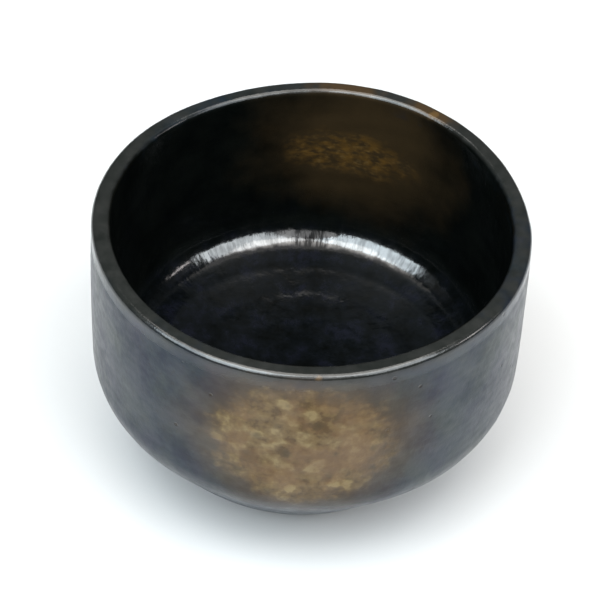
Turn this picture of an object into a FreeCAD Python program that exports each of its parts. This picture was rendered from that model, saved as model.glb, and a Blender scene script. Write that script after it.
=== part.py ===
"""A black-glazed matcha bowl (chawan), 120 mm across at the lip and 85 mm tall.

The bowl stands on +Z with the foot's contact face at z = 0 and its axis on Z; the outer ochre
patch faces -Y. Every section is a closed sketch on a body's own XZ plane, turned about Z. The
glaze skins lie face to face on the clay: a skin's outer face has depth 0, and the clay's face
has the glaze's thickness as its depth.
"""
import FreeCAD, Part
import math
import os

import Sketcher

DIMENSIONS = (
    ("overall_height", 85.0, "from the foot's contact face to the lip"),
    ("lip_round", 1.7, "rounding of the lip's two glazed edges"),
    ("lip_band", 5.0, "height of the glaze band that wraps the lip"),
    ("belly_radius", 60.8, "widest radius of the glazed outside"),
    ("belly_height", 39.9, "height of the widest place"),
    ("wall_curve", 1197.0, "radius of the outer wall's slight bulge, in section"),
    ("koshi_radius", 16.0, "radius of the turn from the wall to the lower flank, in section"),
    ("koshi_angle", 38.0, "turn from vertical to the lower flank, in degrees"),
    ("toe_radius", 5.0, "rounding from the lower flank to the underside"),
    ("underside_height", 5.5, "height of the glazed underside"),
    ("glaze_edge", 33.0, "radius where the glaze stops on the underside"),
    ("well_radius", 21.6, "radius of the hollow trimmed inside the foot"),
    ("well_depth", 4.4, "rise of that hollow at the axis"),
    ("glaze", 0.5, "thickness of the glaze skins"),
    ("inner_wall_radius", 54.6, "radius of the inside at the top of the cove"),
    ("inner_wall_curve", 3700.0, "radius of the inner wall's slight flare, in section"),
    ("cove_height", 37.9, "height of the cove's upper end"),
    ("cove_radius", 10.0, "radius of the cove between the wall and the floor"),
    ("floor_slope", 12.0, "fall of the floor towards the tea pool, in degrees"),
    ("pool_radius", 33.0, "radius of the dished tea pool"),
    ("foot_top_radius", 29.2, "outer radius of the foot ring at its top"),
    ("foot_base_radius", 28.2, "outer radius of the foot ring at its base"),
    ("foot_inner_radius", 22.4, "inner radius of the foot ring"),
    ("foot_edge_round", 0.8, "rounding of the foot ring's lower edges"),
    ("slip", 0.4, "thickness of the joining slip on top of the foot ring"),
    ("slip_bead", 1.3, "reach of the slip's bead beside the foot ring"),
    ("bead_curve", 1.43, "radius of the bead's hollow face, in section"),
    ("outer_patch_height", 59.5, "height of the outer patch's centre"),
    ("outer_patch_shift", 1.0, "shift of the outer patch along +X"),
    ("outer_patch_half_width", 23.0, "half the outer patch's width"),
    ("outer_patch_half_height", 20.0, "half the outer patch's height"),
    ("outer_patch_azimuth", -90.0, "direction that the outer patch faces, in degrees"),
    ("inner_patch_height", 62.0, "height of the inner patch's centre"),
    ("inner_patch_shift", 0.0, "shift of the inner patch across its direction"),
    ("inner_patch_half_width", 23.0, "half the inner patch's width"),
    ("inner_patch_half_height", 16.5, "half the inner patch's height"),
    ("inner_patch_azimuth", 82.0, "direction of the inner patch from the axis, in degrees"),
    ("patch_reach", 70.0, "length of the cutters that outline the patches"),
)

START = 1
END = 2
HORIZONTAL_AXIS = -1
VERTICAL_AXIS = -2
LEVEL_TOLERANCE = 0.0001

doc = FreeCAD.newDocument("matcha_bowl")


def make_sheet():
    """The spreadsheet of driving dimensions, one row each."""
    table = doc.addObject("Spreadsheet::Sheet", "Dim")
    for row, (alias, number, meaning) in enumerate(DIMENSIONS, start=1):
        table.set(f"A{row}", meaning)
        table.set(f"B{row}", str(number))
        table.setAlias(f"B{row}", alias)
    doc.recompute()
    return table


sheet = make_sheet()


def value(expression):
    """The number that an expression of the sheet's cells gives."""
    result = sheet.evalExpression(expression)
    return float(getattr(result, "Value", result))


def arc_through(start, end, radius, side):
    """Arc from start to end with its centre to the left (side 1) or the right (side -1)."""
    chord = end - start
    left = FreeCAD.Vector(-chord.y, chord.x, 0).normalize()
    rise = math.sqrt(radius ** 2 - (chord.Length / 2) ** 2)
    centre = (start + end) / 2 + left * rise * side
    first, last = (start, end) if side > 0 else (end, start)
    first_angle = math.atan2(first.y - centre.y, first.x - centre.x)
    last_angle = math.atan2(last.y - centre.y, last.x - centre.x)
    circle = Part.Circle(centre, FreeCAD.Vector(0, 0, 1), radius)
    return Part.ArcOfCircle(circle, first_angle, last_angle)


def drive(sketch, kind, geometry, point, expression):
    """Hold one coordinate of a sketch point at an expression of the sheet."""
    if expression == "0":
        axis = VERTICAL_AXIS if kind == "DistanceX" else HORIZONTAL_AXIS
        sketch.addConstraint(Sketcher.Constraint("PointOnObject", geometry, point, axis))
        return
    index = sketch.addConstraint(Sketcher.Constraint(kind, geometry, point, value(expression)))
    sketch.setExpression(f"Constraints[{index}]", expression)


def draw_section(body, name, outline):
    """Closed sketch on the body's XZ plane.

    Each corner is (x, z, radius, side); radius and side describe the arc to the next corner,
    and are None where the edge is straight.
    """
    sketch = body.newObject("Sketcher::SketchObject", name)
    plane = next(part for part in body.Origin.OriginFeatures if part.Role == "XZ_Plane")
    sketch.AttachmentSupport = [(plane, "")]
    sketch.MapMode = "FlatFace"
    spots = [FreeCAD.Vector(value(x), value(z), 0) for x, z, radius, side in outline]
    joints = []
    for number, (x, z, radius, side) in enumerate(outline):
        start = spots[number]
        end = spots[(number + 1) % len(spots)]
        if radius is None:
            geometry = sketch.addGeometry(Part.LineSegment(start, end), False)
            joints.append((geometry, START, END))
            continue
        geometry = sketch.addGeometry(arc_through(start, end, value(radius), side), False)
        index = sketch.addConstraint(Sketcher.Constraint("Radius", geometry, value(radius)))
        sketch.setExpression(f"Constraints[{index}]", radius)
        joints.append((geometry, START, END) if side > 0 else (geometry, END, START))
    for number, (x, z, radius, side) in enumerate(outline):
        geometry, start, end = joints[number]
        following, next_start, next_end = joints[(number + 1) % len(joints)]
        sketch.addConstraint(Sketcher.Constraint("Coincident", geometry, end, following, next_start))
        drive(sketch, "DistanceX", geometry, start, x)
        drive(sketch, "DistanceY", geometry, start, z)
    return sketch


def turn_body(name, outline):
    """Body made by turning a closed section about Z."""
    body = doc.addObject("PartDesign::Body", name)
    sketch = draw_section(body, f"{name}_section", outline)
    turn = body.newObject("PartDesign::Revolution", f"{name}_turn")
    turn.Profile = sketch
    turn.ReferenceAxis = (sketch, ["V_Axis"])
    turn.Angle = 360
    sketch.Visibility = False
    doc.recompute()
    return body


def round_edges(body, name, height, radius):
    """Fillet the circular edges that lie at one height."""
    base = body.Tip
    level = value(height)
    chosen = []
    for number, edge in enumerate(base.Shape.Edges, start=1):
        box = edge.BoundBox
        if abs(box.ZMin - level) < LEVEL_TOLERANCE and box.ZLength < LEVEL_TOLERANCE:
            chosen.append(f"Edge{number}")
    fillet = body.newObject("PartDesign::Fillet", name)
    fillet.Base = (base, chosen)
    fillet.setExpression("Radius", radius)
    doc.recompute()


def on_arc(centre_x, centre_z, radius, side, height):
    """Radius from Z at a height on an arc of the section; side 1 is the arc's outer half."""
    reach = f"sqrt(({radius})^2 - (({height}) - ({centre_z}))^2)"
    return f"{centre_x} + {reach}" if side > 0 else f"{centre_x} - {reach}"


def outside_at(height, depth):
    """Radius of the outer wall above the belly, at a depth below the glaze's face."""
    return on_arc("Dim.belly_radius - Dim.wall_curve", "Dim.belly_height",
                  f"Dim.wall_curve - {depth}", 1, height)


def inside_at(height, depth):
    """Radius of the inner wall above the cove, at a depth behind the glaze's face."""
    return on_arc("Dim.inner_wall_radius + Dim.inner_wall_curve", "Dim.cove_height",
                  f"Dim.inner_wall_curve - {depth}", -1, height)


KOSHI_X = "(Dim.belly_radius - Dim.koshi_radius)"
TOE_SPAN = "(Dim.koshi_radius - Dim.toe_radius)"
TOE_Z = "(Dim.underside_height + Dim.toe_radius)"
FLANK = f"((Dim.belly_height - {TOE_SPAN} * sin(Dim.koshi_angle) - {TOE_Z}) / cos(Dim.koshi_angle))"
TOE_X = f"({KOSHI_X} + {TOE_SPAN} * cos(Dim.koshi_angle) - {FLANK} * sin(Dim.koshi_angle))"


def outside_down(depth, top):
    """Corners of the outside from a height on the wall down to the underside."""
    koshi = f"(Dim.koshi_radius - {depth})"
    toe = f"(Dim.toe_radius - {depth})"
    return [
        (outside_at(top, depth), top, f"Dim.wall_curve - {depth}", -1),
        (f"Dim.belly_radius - {depth}", "Dim.belly_height", koshi, -1),
        (f"{KOSHI_X} + {koshi} * cos(Dim.koshi_angle)",
         f"Dim.belly_height - {koshi} * sin(Dim.koshi_angle)", None, None),
        (f"{TOE_X} + {toe} * cos(Dim.koshi_angle)",
         f"{TOE_Z} - {toe} * sin(Dim.koshi_angle)", toe, -1),
        (TOE_X, f"Dim.underside_height + {depth}", None, None),
    ]


COVE_X = "(Dim.inner_wall_radius - Dim.cove_radius)"
FLOOR_X = f"({COVE_X} + Dim.cove_radius * sin(Dim.floor_slope))"
FLOOR_Z = "(Dim.cove_height - Dim.cove_radius * cos(Dim.floor_slope))"
POOL_CURVE = "(Dim.pool_radius / sin(Dim.floor_slope))"
POOL_Z = f"({FLOOR_Z} - ({FLOOR_X} - Dim.pool_radius) * tan(Dim.floor_slope))"


def inside_up(depth, top):
    """Corners of the inside from the axis, over pool, floor and cove, to a height on the wall."""
    cove = f"(Dim.cove_radius + {depth})"
    pool = f"({POOL_CURVE} + {depth})"
    pool_centre = f"({POOL_Z} + {POOL_CURVE} * cos(Dim.floor_slope))"
    return [
        ("0", f"{pool_centre} - {pool}", pool, 1),
        (f"{pool} * sin(Dim.floor_slope)",
         f"{pool_centre} - {pool} * cos(Dim.floor_slope)", None, None),
        (f"{COVE_X} + {cove} * sin(Dim.floor_slope)",
         f"Dim.cove_height - {cove} * cos(Dim.floor_slope)", cove, 1),
        (f"Dim.inner_wall_radius + {depth}", "Dim.cove_height",
         f"Dim.inner_wall_curve - {depth}", -1),
        (inside_at(top, depth), top, None, None),
    ]


def reverse(corners):
    """The same stretch of section, followed the other way."""
    turned = []
    for number in range(len(corners) - 1, -1, -1):
        x, z, radius, side = corners[number]
        if number > 0:
            radius = corners[number - 1][2]
            side = None if radius is None else -corners[number - 1][3]
        else:
            radius = None
            side = None
        turned.append((x, z, radius, side))
    return turned


LIP_Z = "Dim.overall_height"
CLAY_LIP_Z = "(Dim.overall_height - Dim.glaze)"
BAND_Z = "(Dim.overall_height - Dim.lip_band)"
CLAY_UNDER_Z = "(Dim.underside_height + Dim.glaze)"
FOOT_TOP_Z = f"({CLAY_UNDER_Z} - Dim.slip)"
CLAY_LIP_ROUND = "Dim.lip_round - Dim.glaze"


def make_clay_body():
    """Thrown clay wall, koshi and floor, with the hollow trimmed inside the foot."""
    well_curve = "((Dim.well_radius^2 + Dim.well_depth^2) / (2 * Dim.well_depth))"
    underside = [
        ("Dim.well_radius", CLAY_UNDER_Z, well_curve, 1),
        ("0", f"{CLAY_UNDER_Z} + Dim.well_depth", None, None),
    ]
    outline = outside_down("Dim.glaze", CLAY_LIP_Z) + underside + inside_up("Dim.glaze", CLAY_LIP_Z)
    body = turn_body("clay_body", outline)
    round_edges(body, "clay_lip_round", CLAY_LIP_Z, CLAY_LIP_ROUND)
    return body


def make_outer_coat():
    """Glaze on the outside, from below the lip band to its edge on the underside."""
    face = outside_down("0", BAND_Z)
    back = reverse(outside_down("Dim.glaze", BAND_Z))
    edge = [
        ("Dim.glaze_edge", "Dim.underside_height", None, None),
        ("Dim.glaze_edge", CLAY_UNDER_Z, None, None),
    ]
    return turn_body("outer_coat", face + edge + back)


def make_inner_coat():
    """Glaze on the floor, the cove and the inner wall, up to the lip band."""
    back = inside_up("Dim.glaze", BAND_Z)
    face = reverse(inside_up("0", BAND_Z))
    return turn_body("inner_coat", back + face)


def make_lip_glaze():
    """Glaze band that wraps over the lip."""
    curve = "Dim.wall_curve"
    inner_curve = "Dim.inner_wall_curve"
    outline = [
        (outside_at(BAND_Z, "0"), BAND_Z, curve, 1),
        (outside_at(LIP_Z, "0"), LIP_Z, None, None),
        (inside_at(LIP_Z, "0"), LIP_Z, inner_curve, 1),
        (inside_at(BAND_Z, "0"), BAND_Z, None, None),
        (inside_at(BAND_Z, "Dim.glaze"), BAND_Z, f"{inner_curve} - Dim.glaze", -1),
        (inside_at(CLAY_LIP_Z, "Dim.glaze"), CLAY_LIP_Z, None, None),
        (outside_at(CLAY_LIP_Z, "Dim.glaze"), CLAY_LIP_Z, f"{curve} - Dim.glaze", -1),
        (outside_at(BAND_Z, "Dim.glaze"), BAND_Z, None, None),
    ]
    body = turn_body("lip_glaze", outline)
    round_edges(body, "lip_face_round", LIP_Z, "Dim.lip_round")
    round_edges(body, "lip_back_round", CLAY_LIP_Z, CLAY_LIP_ROUND)
    return body


def foot_side(height):
    """Radius of the foot ring's tapered outer side at a height."""
    taper = f"(Dim.foot_top_radius - Dim.foot_base_radius) / {FOOT_TOP_Z}"
    return f"Dim.foot_base_radius + {taper} * ({height})"


def make_foot_ring():
    """Foot ring (kodai): the part that rests on the table."""
    outline = [
        ("Dim.foot_inner_radius", "0", None, None),
        ("Dim.foot_base_radius", "0", None, None),
        ("Dim.foot_top_radius", FOOT_TOP_Z, None, None),
        ("Dim.foot_inner_radius", FOOT_TOP_Z, None, None),
    ]
    body = turn_body("foot_ring", outline)
    round_edges(body, "foot_edge_round", "0", "Dim.foot_edge_round")
    return body


def make_joining_slip():
    """Slip that joins the foot ring to the clay, squeezed out as a bead on both sides."""
    low = f"({CLAY_UNDER_Z} - Dim.slip_bead)"
    outline = [
        ("Dim.foot_inner_radius - Dim.slip_bead / 2", CLAY_UNDER_Z, "Dim.bead_curve", -1),
        ("Dim.foot_inner_radius", low, None, None),
        ("Dim.foot_inner_radius", FOOT_TOP_Z, None, None),
        ("Dim.foot_top_radius", FOOT_TOP_Z, None, None),
        (foot_side(low), low, "Dim.bead_curve", -1),
        ("Dim.foot_top_radius + Dim.slip_bead", CLAY_UNDER_Z, None, None),
    ]
    return turn_body("joining_slip", outline)


def make_patch_cutter(patch):
    """Elliptical rod that leaves the axis in the patch's direction."""
    outline = doc.addObject("Part::Ellipse", f"{patch}_outline")
    outline.setExpression("MajorRadius", f"Dim.{patch}_half_width")
    outline.setExpression("MinorRadius", f"Dim.{patch}_half_height")
    azimuth = value(f"Dim.{patch}_azimuth")
    shift = value(f"Dim.{patch}_shift")
    turn = FreeCAD.Rotation(FreeCAD.Vector(0, 0, 1), azimuth + 90)
    upright = FreeCAD.Rotation(FreeCAD.Vector(1, 0, 0), 90)
    centre = turn.multVec(FreeCAD.Vector(shift, 0, value(f"Dim.{patch}_height")))
    outline.Placement = FreeCAD.Placement(centre, turn.multiply(upright))
    cutter = doc.addObject("Part::Extrusion", f"{patch}_cutter")
    cutter.Base = outline
    cutter.DirMode = "Custom"
    cutter.Dir = turn.multVec(FreeCAD.Vector(0, -1, 0))
    cutter.setExpression("LengthFwd", "Dim.patch_reach")
    cutter.Solid = True
    doc.recompute()
    return cutter


def split_coat(coat, patch, coat_name, patch_name):
    """The coat without its patch, and the patch, which meet along the cutter's outline."""
    cutter = make_patch_cutter(patch)
    rest = doc.addObject("Part::Cut", coat_name)
    rest.Base = coat
    rest.Tool = cutter
    inlay = doc.addObject("Part::Common", patch_name)
    inlay.Base = coat
    inlay.Tool = cutter
    doc.recompute()
    return rest, inlay


def make_bowl():
    """Every piece of the bowl, as (node name, document object)."""
    outer_glaze, outer_patch = split_coat(
        make_outer_coat(), "outer_patch", "outer_glaze", "outer_ochre_patch")
    inner_glaze, inner_patch = split_coat(
        make_inner_coat(), "inner_patch", "inner_glaze", "inner_ochre_patch")
    return [
        ("clay_body", make_clay_body()),
        ("foot_ring", make_foot_ring()),
        ("joining_slip", make_joining_slip()),
        ("outer_glaze", outer_glaze),
        ("inner_glaze", inner_glaze),
        ("lip_glaze", make_lip_glaze()),
        ("outer_ochre_patch", outer_patch),
        ("inner_ochre_patch", inner_patch),
    ]


def check_document():
    """Stop if any object of the document failed to compute."""
    for item in doc.Objects:
        if "Invalid" in item.State or "Error" in item.State:
            raise RuntimeError(f"{item.Name} did not compute: {item.State}")


def check_shape(node, item):
    """Stop if a piece is missing, broken or not one closed solid."""
    shape = item.Shape
    if shape.isNull() or not shape.isValid():
        raise RuntimeError(f"{node} has no valid shape")
    if len(shape.Solids) != 1 or shape.Volume <= 0:
        raise RuntimeError(f"{node} is not one solid")


def main():
    pieces = make_bowl()
    doc.recompute()
    for node, item in pieces:
        item.Label = node
        item.Placement = FreeCAD.Placement()
    doc.recompute()
    check_document()
    for node, item in pieces:
        check_shape(node, item)
    os.makedirs("parts", exist_ok=True)
    for node, item in pieces:
        item.Shape.exportStep(f"parts/{node}.step")
        box = item.Shape.optimalBoundingBox(False)
        print(f"{node}: {item.Shape.Volume / 1000:.2f} cm3, z {box.ZMin:.2f} to {box.ZMax:.2f}, "
              f"x {box.XMin:.2f} to {box.XMax:.2f}, y {box.YMin:.2f} to {box.YMax:.2f}")


main()
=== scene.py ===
"""A black-glazed matcha bowl with ochre patches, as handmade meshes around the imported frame.

Everything is in metres in the frame's axes: +Z up the bowl's axis, the outer patch facing -Y.
The bowl's section is one outline, followed from the glaze's edge on the underside, up the outside,
over the lip and down the inside to the axis. Every glaze piece is a stretch of that outline turned
about Z, with the same handmade unevenness, so the pieces meet edge to edge.
"""
import math

import bpy
import numpy as np
from mathutils import Matrix, Vector


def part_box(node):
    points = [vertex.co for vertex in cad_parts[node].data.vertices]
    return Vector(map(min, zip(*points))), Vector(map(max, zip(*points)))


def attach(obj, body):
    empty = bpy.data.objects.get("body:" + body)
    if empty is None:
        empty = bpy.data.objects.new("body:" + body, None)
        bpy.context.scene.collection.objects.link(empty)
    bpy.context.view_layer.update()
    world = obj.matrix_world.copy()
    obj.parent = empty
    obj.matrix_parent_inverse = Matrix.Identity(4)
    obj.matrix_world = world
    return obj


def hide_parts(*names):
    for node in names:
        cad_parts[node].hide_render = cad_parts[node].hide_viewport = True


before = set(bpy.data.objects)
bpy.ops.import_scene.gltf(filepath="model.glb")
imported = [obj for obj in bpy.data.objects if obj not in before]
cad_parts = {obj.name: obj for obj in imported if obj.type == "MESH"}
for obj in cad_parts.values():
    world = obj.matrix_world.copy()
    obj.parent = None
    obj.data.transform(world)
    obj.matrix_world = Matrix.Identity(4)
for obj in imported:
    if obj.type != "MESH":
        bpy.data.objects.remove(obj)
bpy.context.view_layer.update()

MM = 0.001
TURN = 2 * math.pi

# The frame's sizes.
LIP_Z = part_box("lip_glaze")[1].z
BAND_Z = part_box("lip_glaze")[0].z
GLAZE = LIP_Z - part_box("clay_body")[1].z
BELLY_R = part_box("outer_glaze")[1].x
UNDER_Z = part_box("outer_glaze")[0].z
CLAY_UNDER_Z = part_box("clay_body")[0].z
FOOT_TOP_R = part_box("foot_ring")[1].x
FOOT_TOP_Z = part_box("foot_ring")[1].z
SLIP_LOW_Z, SLIP_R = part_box("joining_slip")[0].z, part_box("joining_slip")[1].x
PATCH_LOW, PATCH_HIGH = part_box("outer_ochre_patch")
GOLD_LOW, GOLD_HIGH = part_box("inner_ochre_patch")

# The section's arcs and angles, as in the CAD part.
BELLY_Z = 39.9 * MM
WALL_CURVE = 1197 * MM
KOSHI_CURVE = 16 * MM
KOSHI_TURN = math.radians(38)
TOE_CURVE = 5 * MM
GLAZE_EDGE_R = 33 * MM
LIP_ROUND = 1.7 * MM
INNER_R = 54.6 * MM
INNER_CURVE = 3700 * MM
COVE_Z = 37.9 * MM
COVE_CURVE = 10 * MM
FLOOR_SLOPE = math.radians(12)
POOL_R = 33 * MM
WELL_R = 21.6 * MM
WELL_RISE = 4.4 * MM
FOOT_BASE_R = 28.2 * MM
FOOT_INNER_R = 22.4 * MM

# The unevenness that the hand leaves.
LIP_SADDLE = 0.41 * MM
LIP_LOBES = 0.67 * MM
WALL_OVAL = 0.0022
WALL_LOBES = 0.0014
FULL_SIDE = math.radians(-130)
FULL_Z = 13 * MM
FULL_SPREAD = 8 * MM
FULLNESS = 1.3 * MM

# Step between the outline's points.
FINE = 0.05 * MM


def arc(centre, radius, first, last):
    """Points of an arc in the section plane, from one angle to another."""
    count = max(2, int(abs(last - first) * radius / FINE))
    angles = np.linspace(first, last, count)
    return np.stack([centre[0] + radius * np.cos(angles), centre[1] + radius * np.sin(angles)], 1)


def line(start, end):
    """Points of a straight stretch in the section plane."""
    reach = math.dist(start, end)
    steps = np.linspace(0, 1, max(2, int(reach / FINE)))[:, None]
    return np.asarray(start) * (1 - steps) + np.asarray(end) * steps


def glaze_outline():
    """The glaze's face, from its edge on the underside to the axis inside."""
    koshi = (BELLY_R - KOSHI_CURVE, BELLY_Z)
    span = KOSHI_CURVE - TOE_CURVE
    toe_z = UNDER_Z + TOE_CURVE
    flank = (BELLY_Z - span * math.sin(KOSHI_TURN) - toe_z) / math.cos(KOSHI_TURN)
    toe_r = koshi[0] + span * math.cos(KOSHI_TURN) - flank * math.sin(KOSHI_TURN)
    toe = arc((toe_r, toe_z), TOE_CURVE, -math.pi / 2, -KOSHI_TURN)
    turn = arc(koshi, KOSHI_CURVE, -KOSHI_TURN, 0)
    rise = LIP_Z - LIP_ROUND - BELLY_Z
    wall_centre = (BELLY_R - WALL_CURVE, BELLY_Z)
    lean = math.asin(rise / (WALL_CURVE - LIP_ROUND))
    wall = arc(wall_centre, WALL_CURVE, 0, lean)
    outer_r = wall_centre[0] + (WALL_CURVE - LIP_ROUND) * math.cos(lean)
    inner_rise = LIP_Z - LIP_ROUND - COVE_Z
    flare = math.asin(inner_rise / (INNER_CURVE - LIP_ROUND))
    inner_centre = (INNER_R + INNER_CURVE, COVE_Z)
    inner_r = inner_centre[0] - (INNER_CURVE - LIP_ROUND) * math.cos(flare)
    outer_edge = arc((outer_r, LIP_Z - LIP_ROUND), LIP_ROUND, lean, math.pi / 2)
    inner_edge = arc((inner_r, LIP_Z - LIP_ROUND), LIP_ROUND, math.pi / 2, math.pi - flare)
    inner_wall = arc(inner_centre, INNER_CURVE, math.pi - flare, math.pi)
    cove_r = INNER_R - COVE_CURVE
    cove = arc((cove_r, COVE_Z), COVE_CURVE, 0, FLOOR_SLOPE - math.pi / 2)
    pool_curve = POOL_R / math.sin(FLOOR_SLOPE)
    pool_z = cove[-1][1] - (cove[-1][0] - POOL_R) * math.tan(FLOOR_SLOPE)
    pool_centre = (0, pool_z + pool_curve * math.cos(FLOOR_SLOPE))
    pool = arc(pool_centre, pool_curve, FLOOR_SLOPE - math.pi / 2, -math.pi / 2)
    parts = [
        line((GLAZE_EDGE_R, UNDER_Z), toe[0]), toe, line(toe[-1], turn[0]), turn, wall,
        outer_edge, line(outer_edge[-1], inner_edge[0]), inner_edge, inner_wall, cove,
        line(cove[-1], pool[0]), pool,
    ]
    return np.concatenate(parts)


class Section:
    """An outline in the section plane, followed by its length."""

    def __init__(self, points):
        step = np.linalg.norm(np.diff(points, axis=0), axis=1)
        kept = np.concatenate([[True], step > FINE / 100])
        self.points = points[kept]
        step = np.linalg.norm(np.diff(self.points, axis=0), axis=1)
        self.along = np.concatenate([[0], np.cumsum(step)])
        self.length = self.along[-1]
        tangent = np.gradient(self.points, self.along, axis=0)
        tangent /= np.linalg.norm(tangent, axis=1)[:, None]
        self.tangents = tangent

    def at(self, along):
        """Radius, height and outward normal at lengths along the outline."""
        radius = np.interp(along, self.along, self.points[:, 0])
        height = np.interp(along, self.along, self.points[:, 1])
        tangent_r = np.interp(along, self.along, self.tangents[:, 0])
        tangent_z = np.interp(along, self.along, self.tangents[:, 1])
        size = np.hypot(tangent_r, tangent_z)
        return radius, height, tangent_z / size, -tangent_r / size

    def where(self, height, last=False):
        """Length along the outline at the first or the last crossing of a height."""
        above = self.points[:, 1] >= height
        crossings = np.nonzero(above[1:] != above[:-1])[0]
        return self.along[crossings[-1] if last else crossings[0]]


GLAZE_FACE = Section(glaze_outline())
LIP_START = GLAZE_FACE.where(BAND_Z)
LIP_END = GLAZE_FACE.where(BAND_Z, last=True)


def ripple(points, wavelength, seed, waves=24):
    """Smooth unevenness over space, about -1 to 1, with a given size of its swells."""
    draw = np.random.default_rng(seed)
    direction = draw.normal(size=(waves, 3))
    direction /= np.linalg.norm(direction, axis=1)[:, None]
    count = TURN / (wavelength * draw.uniform(0.75, 1.35, waves))
    phase = draw.uniform(0, TURN, waves)
    total = np.zeros(points.shape[:-1])
    for number in range(waves):
        total += np.sin(points @ direction[number] * count[number] + phase[number])
    return total / math.sqrt(2 * waves)


def smooth(value, low, high):
    """0 below low, 1 above high, and an even turn between."""
    part = np.clip((value - low) / (high - low), 0, 1)
    return part * part * (3 - 2 * part)


def hand(points):
    """The bowl's overall unevenness: a waved lip, a wall that isn't quite round and a fuller flank."""
    angle = np.arctan2(points[..., 1], points[..., 0])
    height = points[..., 2] / LIP_Z
    wave = LIP_SADDLE * np.sin(2 * angle) - LIP_LOBES * np.cos(3 * angle)
    lift = wave * np.clip(height, 0, 1) ** 2
    loose = smooth(height, 0.1, 0.6)
    swell = 1 + loose * (WALL_OVAL * np.sin(2 * angle + 0.7) + WALL_LOBES * np.sin(5 * angle + 2.0))
    reach = np.hypot(points[..., 0], points[..., 1])
    toward = np.maximum(np.cos(angle - FULL_SIDE), 0) ** 3
    level = np.exp(-((points[..., 2] - FULL_Z) / FULL_SPREAD) ** 2)
    outside = smooth(reach, 36 * MM, 44 * MM)
    swell += FULLNESS * toward * level * outside / np.maximum(reach, MM)
    bent = points.copy()
    bent[..., 0] *= swell
    bent[..., 1] *= swell
    bent[..., 2] += lift
    return bent


def turned(section, angle, along, depth=0.0, relief=None):
    """Points of a turned section at angles and lengths, raised along its normal by the relief."""
    radius, height, out_r, out_z = section.at(along)
    cos, sin = np.cos(angle), np.sin(angle)
    flat = np.stack([radius * cos, radius * sin, height], -1)
    normal = np.stack([out_r * cos, out_r * sin, out_z], -1)
    rise = -depth
    if relief is not None:
        rise = rise + relief(flat, angle, along)
    return hand(flat + normal * np.asarray(rise)[..., None])


# The reliefs below have their sizes in millimetres, and each returns metres.


def outer_relief(points, angle, along):
    """Paring swells, faint trimming marks and a rounded glaze edge on the outside."""
    swell = 0.09 * ripple(points, 32 * MM, 11) + 0.025 * ripple(points, 11 * MM, 12)
    wander = ripple(points, 25 * MM, 13)
    marks = 0.008 * np.sin(TURN * points[..., 2] / (3.4 * MM) + 2.2 * wander)
    grain = 0.005 * ripple(points, 2.6 * MM, 14)
    edge = smooth(along, 0, 1.2 * MM)
    roll = 0.25 * np.exp(-((along - 1.4 * MM) / (1.3 * MM)) ** 2)
    fade = smooth(along, 0, 3 * MM)
    return ((swell + marks + grain) * fade + roll * edge - GLAZE / MM * 0.7 * (1 - edge)) * MM


# The floor's throwing rings: radius, height and width in millimetres.
FLOOR_RINGS = ((41.5, 0.10, 1.5), (33.0, 0.06, 1.7), (24.0, 0.03, 1.8), (13.0, 0.03, 2.2))


def inner_relief(points, angle, along):
    """Throwing rings on the inner wall and floor, under a thick gloss."""
    radius = np.hypot(points[..., 0], points[..., 1])
    wall = smooth(points[..., 2], 34 * MM, 44 * MM) * (1 - smooth(points[..., 2], 76 * MM, 82 * MM))
    wander = ripple(points, 40 * MM, 21)
    spiral = np.sin(TURN * points[..., 2] / (6.8 * MM) + angle + 1.6 * wander)
    wall_rings = 0.03 * spiral * wall
    floor = 1 - smooth(points[..., 2], 28 * MM, 33 * MM)
    rings = np.zeros(radius.shape)
    for place, size, width in FLOOR_RINGS:
        shifted = radius / MM - place + 0.5 * wander
        rings += size * np.exp(-(shifted / width) ** 2)
    grain = 0.008 * ripple(points, 3.2 * MM, 22) + 0.03 * ripple(points, 13 * MM, 23)
    near_lip = smooth(LIP_END + 6 * MM - along, 0, 6 * MM)
    return (wall_rings + rings * floor + grain * (1 - near_lip)) * MM


def lip_relief(points, angle, along):
    """Slight unevenness of the lip, running out of the outside's and the inside's."""
    outside = outer_relief(points, angle, along)
    inside = inner_relief(points, angle, along)
    share = smooth(along, LIP_START, LIP_END)
    own = 0.05 * ripple(points, 9 * MM, 31) * MM
    middle = np.sin(math.pi * np.clip((along - LIP_START) / (LIP_END - LIP_START), 0, 1)) ** 2
    return outside * (1 - share) + inside * share + own * middle


def face_relief(points, angle, along):
    """Relief of the whole glaze face."""
    outside = along < LIP_START
    inside = along > LIP_END
    lip = lip_relief(points, angle, along)
    lip = np.where(outside, outer_relief(points, angle, along), lip)
    return np.where(inside, inner_relief(points, angle, along), lip)


# Fine cells along a coarse one.
COARSE = 4

# Sides of a cell: the row and column steps to the cell beside it, then to the side's two ends.
SIDES = (((-1, 0), (0, 1), (0, 0)), ((1, 0), (1, 0), (1, 1)),
         ((0, -1), (0, 0), (1, 0)), ((0, 1), (1, 1), (0, 1)))


def cell_corners(number):
    """The four vertex numbers of each cell of a grid."""
    return np.stack([number[:-1, :-1], number[:-1, 1:], number[1:, 1:], number[1:, :-1]], -1)


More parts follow.
